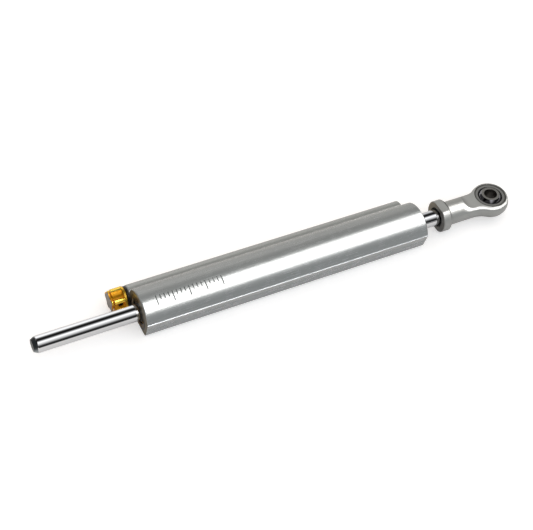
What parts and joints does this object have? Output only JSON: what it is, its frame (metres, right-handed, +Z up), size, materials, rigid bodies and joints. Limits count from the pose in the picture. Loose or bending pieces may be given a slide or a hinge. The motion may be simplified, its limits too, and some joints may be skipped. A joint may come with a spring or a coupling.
{
  "type": "motorcycle steering damper",
  "caption": "Through-rod hydraulic steering damper with a satin aluminium body, side reservoir tube, fluted gold click adjuster, chromed rod and a spherical rod end",
  "frame": {"origin": "on the plane of the body's flat underside, straight below the rod's axis, halfway along the body", "axes": "+X along the rod towards the rod end, +Y towards the side tube, +Z up out of the flat underside"},
  "size_m": [0.3102, 0.038, 0.0242],
  "materials": {
    "body_aluminium": "satin anodised, drawn lengthwise",
    "head_aluminium": "turned, dull gold anodised",
    "black_rubber": "matt",
    "seal_polymer": "matt",
    "bearing_bronze": "fine bored",
    "spring_steel": "stamped and oiled",
    "inner_aluminium": "turned",
    "plug_steel": "turned",
    "band_polymer": "matt filled polymer",
    "rod_chrome": "ground and hard chromed, mirror bright",
    "rod_end_steel": "satin plated",
    "race_steel": "turned",
    "liner_polymer": "woven slippery liner",
    "ball_steel": "polished bearing steel",
    "gland_aluminium": "black anodised",
    "knob_aluminium": "gold orange anodised, bright cut",
    "grub_steel": "black oxide",
    "valve_brass": "turned"
  },
  "bodies": {
    "cylinder": {"damper_body": "body_aluminium", "seal_head_adjuster_end": "head_aluminium", "seal_head_rod_end": "head_aluminium", "wiper_adjuster_end": "black_rubber", "wiper_rod_end": "black_rubber", "rod_seal_adjuster_end": "seal_polymer", "rod_seal_rod_end": "seal_polymer", "rod_bush_adjuster_end": "bearing_bronze", "rod_bush_rod_end": "bearing_bronze", "head_ring_seal_adjuster_end": "black_rubber", "head_ring_seal_rod_end": "black_rubber", "head_snap_ring_adjuster_end": "spring_steel", "head_snap_ring_rod_end": "spring_steel", "stop_sleeve_adjuster_end": "inner_aluminium", "stop_sleeve_rod_end": "inner_aluminium", "port_plugs": "plug_steel", "adjuster_gland": "gland_aluminium", "gland_ring_seal": "black_rubber", "spindle_snap_ring": "spring_steel", "click_ball": "ball_steel", "click_spring": "spring_steel", "valve_seat": "valve_brass", "seat_ring_seal": "black_rubber", "compensator_spring": "spring_steel", "reservoir_plug": "plug_steel", "plug_ring_seal": "black_rubber"},
    "piston_group": {"piston": "inner_aluminium", "piston_band": "band_polymer", "piston_band_expander": "black_rubber", "piston_bore_ring_seal": "black_rubber"},
    "rod_group": {"piston_rod": "rod_chrome", "piston_snap_rings": "spring_steel", "rod_end_housing": "rod_end_steel", "rod_end_race": "race_steel", "rod_end_liner": "liner_polymer"},
    "swivel_ball": {"rod_end_ball": "ball_steel"},
    "adjuster": {"adjuster_knob": "knob_aluminium", "knob_grub_screw": "grub_steel", "adjuster_spindle": "plug_steel", "spindle_ring_seal": "black_rubber"},
    "needle": {"needle_valve": "valve_brass", "needle_key_pins": "plug_steel"},
    "compensator": {"compensator_piston": "inner_aluminium", "compensator_ring_seal": "black_rubber"}
  },
  "joints": [
    {"name": "rod_slide", "type": "slide", "parent": "cylinder", "child": "piston_group", "axis": [1, 0, 0], "range_m": [-0.013, 0.055]},
    {"name": "rod_twist", "type": "hinge", "parent": "piston_group", "child": "rod_group", "pos_m": [0, 0, 0.0096], "axis": [1, 0, 0], "continuous": true},
    {"name": "ball_swivel", "type": "hinge", "parent": "rod_group", "child": "swivel_ball", "pos_m": [0.1446, 0, 0.0096], "axis": [0, 0, 1], "continuous": true},
    {"name": "adjuster_turn", "type": "hinge", "parent": "cylinder", "child": "adjuster", "pos_m": [-0.0912, 0.0164, 0.00625], "axis": [1, 0, 0], "range_deg": [-450, 450]},
    {"name": "needle_slide", "type": "slide", "parent": "cylinder", "child": "needle", "axis": [1, 0, 0], "range_m": [-0.00062, 0.00062]},
    {"name": "compensator_slide", "type": "slide", "parent": "cylinder", "child": "compensator", "axis": [1, 0, 0], "range_m": [-0.004, 0.006], "stiffness_N_per_m": 200, "deforming": ["compensator_spring"]}
  ],
  "couplings": [
    {"joint": "adjuster_turn", "follows": "needle_slide", "rad_per_m": 12566}
  ]
}
